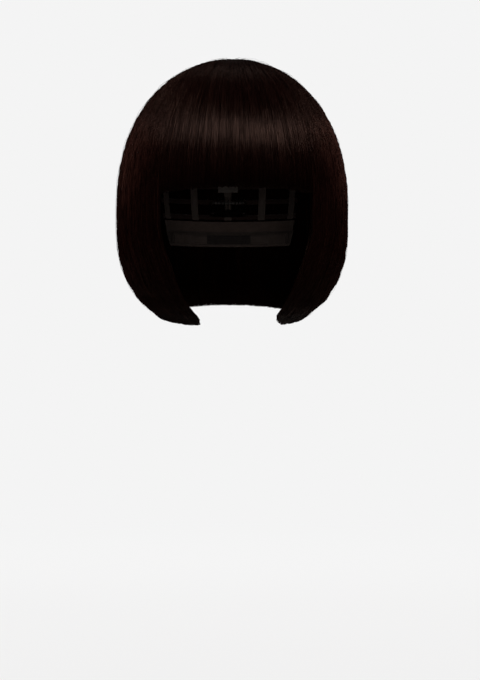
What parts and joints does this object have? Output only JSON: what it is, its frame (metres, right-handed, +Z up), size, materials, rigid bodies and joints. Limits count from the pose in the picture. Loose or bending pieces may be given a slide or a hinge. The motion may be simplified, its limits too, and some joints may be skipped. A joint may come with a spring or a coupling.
{
  "type": "costume wig",
  "caption": "Chin-length bob wig with a full straight fringe and curled-in sides on a wefted, adjustable cap with snap combs.",
  "frame": {"origin": "centre of the wearer's head circumference, at brow height, in the middle of the cap", "axes": "+Z up through the crown, -Y the way the wearer faces, +X the wearer's left"},
  "size_m": [0.1998, 0.225, 0.233],
  "materials": {
    "hair_fibre": "glossy synthetic fibre",
    "weft": "machine-sewn fibre",
    "elastic_tape": "woven elastic",
    "net": "knitted net",
    "skin_top": "soft coated mesh",
    "satin": "woven satin",
    "label": "woven label, blank",
    "stay_metal": "sewn-in metal stay",
    "strap": "woven elastic",
    "hook_tape": "moulded hook tape",
    "loop_tape": "looped pile tape",
    "silicone": "soft silicone",
    "comb_steel": "dark lacquered spring steel"
  },
  "bodies": {
    "root": {"hair_crown": "hair_fibre", "crown_net": "net", "crown_skin_top": "skin_top", "front_band": "satin", "side_panel_left": "net", "side_panel_right": "net", "side_binding_left": "elastic_tape", "side_binding_right": "elastic_tape", "nape_panel": "satin", "nape_band": "elastic_tape", "size_label": "label", "rib_tape_1": "elastic_tape", "rib_tape_2": "elastic_tape", "rib_tape_3": "elastic_tape", "rib_tape_4": "elastic_tape", "rib_tape_5": "elastic_tape", "weft_crown_1": "weft", "weft_crown_2": "weft", "weft_fringe_1": "weft", "weft_fringe_2": "weft", "weft_back_1": "weft", "weft_back_2": "weft", "weft_back_3": "weft", "weft_back_4": "weft", "weft_back_5": "weft", "weft_back_6": "weft", "weft_back_7": "weft", "strap_channel_left": "elastic_tape", "strap_channel_right": "elastic_tape", "loop_strip": "loop_tape", "comb_front_frame": "comb_steel", "comb_front_grip": "silicone", "comb_left_frame": "comb_steel", "comb_left_grip": "silicone", "comb_right_frame": "comb_steel", "comb_right_grip": "silicone", "comb_back_frame": "comb_steel", "comb_back_grip": "silicone"},
    "fringe": {"hair_fringe": "hair_fibre"},
    "side_left": {"hair_side_left": "hair_fibre"},
    "side_right": {"hair_side_right": "hair_fibre"},
    "back": {"hair_back": "hair_fibre"},
    "ear_tab_left": {"ear_tab_left": "satin", "ear_stay_left": "stay_metal"},
    "ear_tab_right": {"ear_tab_right": "satin", "ear_stay_right": "stay_metal"},
    "strap_left": {"strap_left": "strap", "strap_tab_left": "hook_tape"},
    "strap_right": {"strap_right": "strap", "strap_tab_right": "hook_tape"},
    "comb_front": {"comb_front_leaf": "comb_steel"},
    "comb_left": {"comb_left_leaf": "comb_steel"},
    "comb_right": {"comb_right_leaf": "comb_steel"},
    "comb_back": {"comb_back_leaf": "comb_steel"}
  },
  "joints": [
    {"name": "fringe_lift", "type": "hinge", "parent": "root", "child": "fringe", "pos_m": [0, -0.0913, 0.03556], "axis": [-1, 0, 0], "range_deg": [0, 25]},
    {"name": "side_left_swing", "type": "hinge", "parent": "root", "child": "side_left", "pos_m": [0.07655, 0, 0.03556], "axis": [0, -1, 0], "range_deg": [0, 15]},
    {"name": "side_right_swing", "type": "hinge", "parent": "root", "child": "side_right", "pos_m": [-0.07655, 0, 0.03556], "axis": [0, 1, 0], "range_deg": [0, 15]},
    {"name": "back_swing", "type": "hinge", "parent": "root", "child": "back", "pos_m": [0, 0.0913, 0.03556], "axis": [1, 0, 0], "range_deg": [0, 10]},
    {"name": "ear_tab_left_bend", "type": "hinge", "parent": "root", "child": "ear_tab_left", "pos_m": [0.07291, -0.02691, 0.0015], "axis": [0.2455, 0.9694, 0], "range_deg": [-5, 20]},
    {"name": "ear_tab_right_bend", "type": "hinge", "parent": "root", "child": "ear_tab_right", "pos_m": [-0.07291, -0.02691, 0.0015], "axis": [0.2455, -0.9694, 0], "range_deg": [-5, 20]},
    {"name": "strap_left_pull", "type": "hinge", "parent": "root", "child": "strap_left", "pos_m": [0, 0.0184, -0.054], "axis": [0, 0, 1], "range_deg": [0, 16]},
    {"name": "strap_right_pull", "type": "hinge", "parent": "root", "child": "strap_right", "pos_m": [0, 0.0184, -0.054], "axis": [0, 0, -1], "range_deg": [0, 16]},
    {"name": "comb_front_snap", "type": "hinge", "parent": "root", "child": "comb_front", "pos_m": [0, -0.07262, 0.04157], "axis": [-1, 0, 0], "range_deg": [0, 30]},
    {"name": "comb_left_snap", "type": "hinge", "parent": "root", "child": "comb_left", "pos_m": [0.05848, -0.04153, 0.02332], "axis": [-0.4313, -0.9022, 0], "range_deg": [0, 30]},
    {"name": "comb_right_snap", "type": "hinge", "parent": "root", "child": "comb_right", "pos_m": [-0.05848, -0.04153, 0.02332], "axis": [-0.4313, 0.9022, 0], "range_deg": [0, 30]},
    {"name": "comb_back_snap", "type": "hinge", "parent": "root", "child": "comb_back", "pos_m": [0, 0.08287, -0.02932], "axis": [1, 0, 0], "range_deg": [0, 30]}
  ]
}
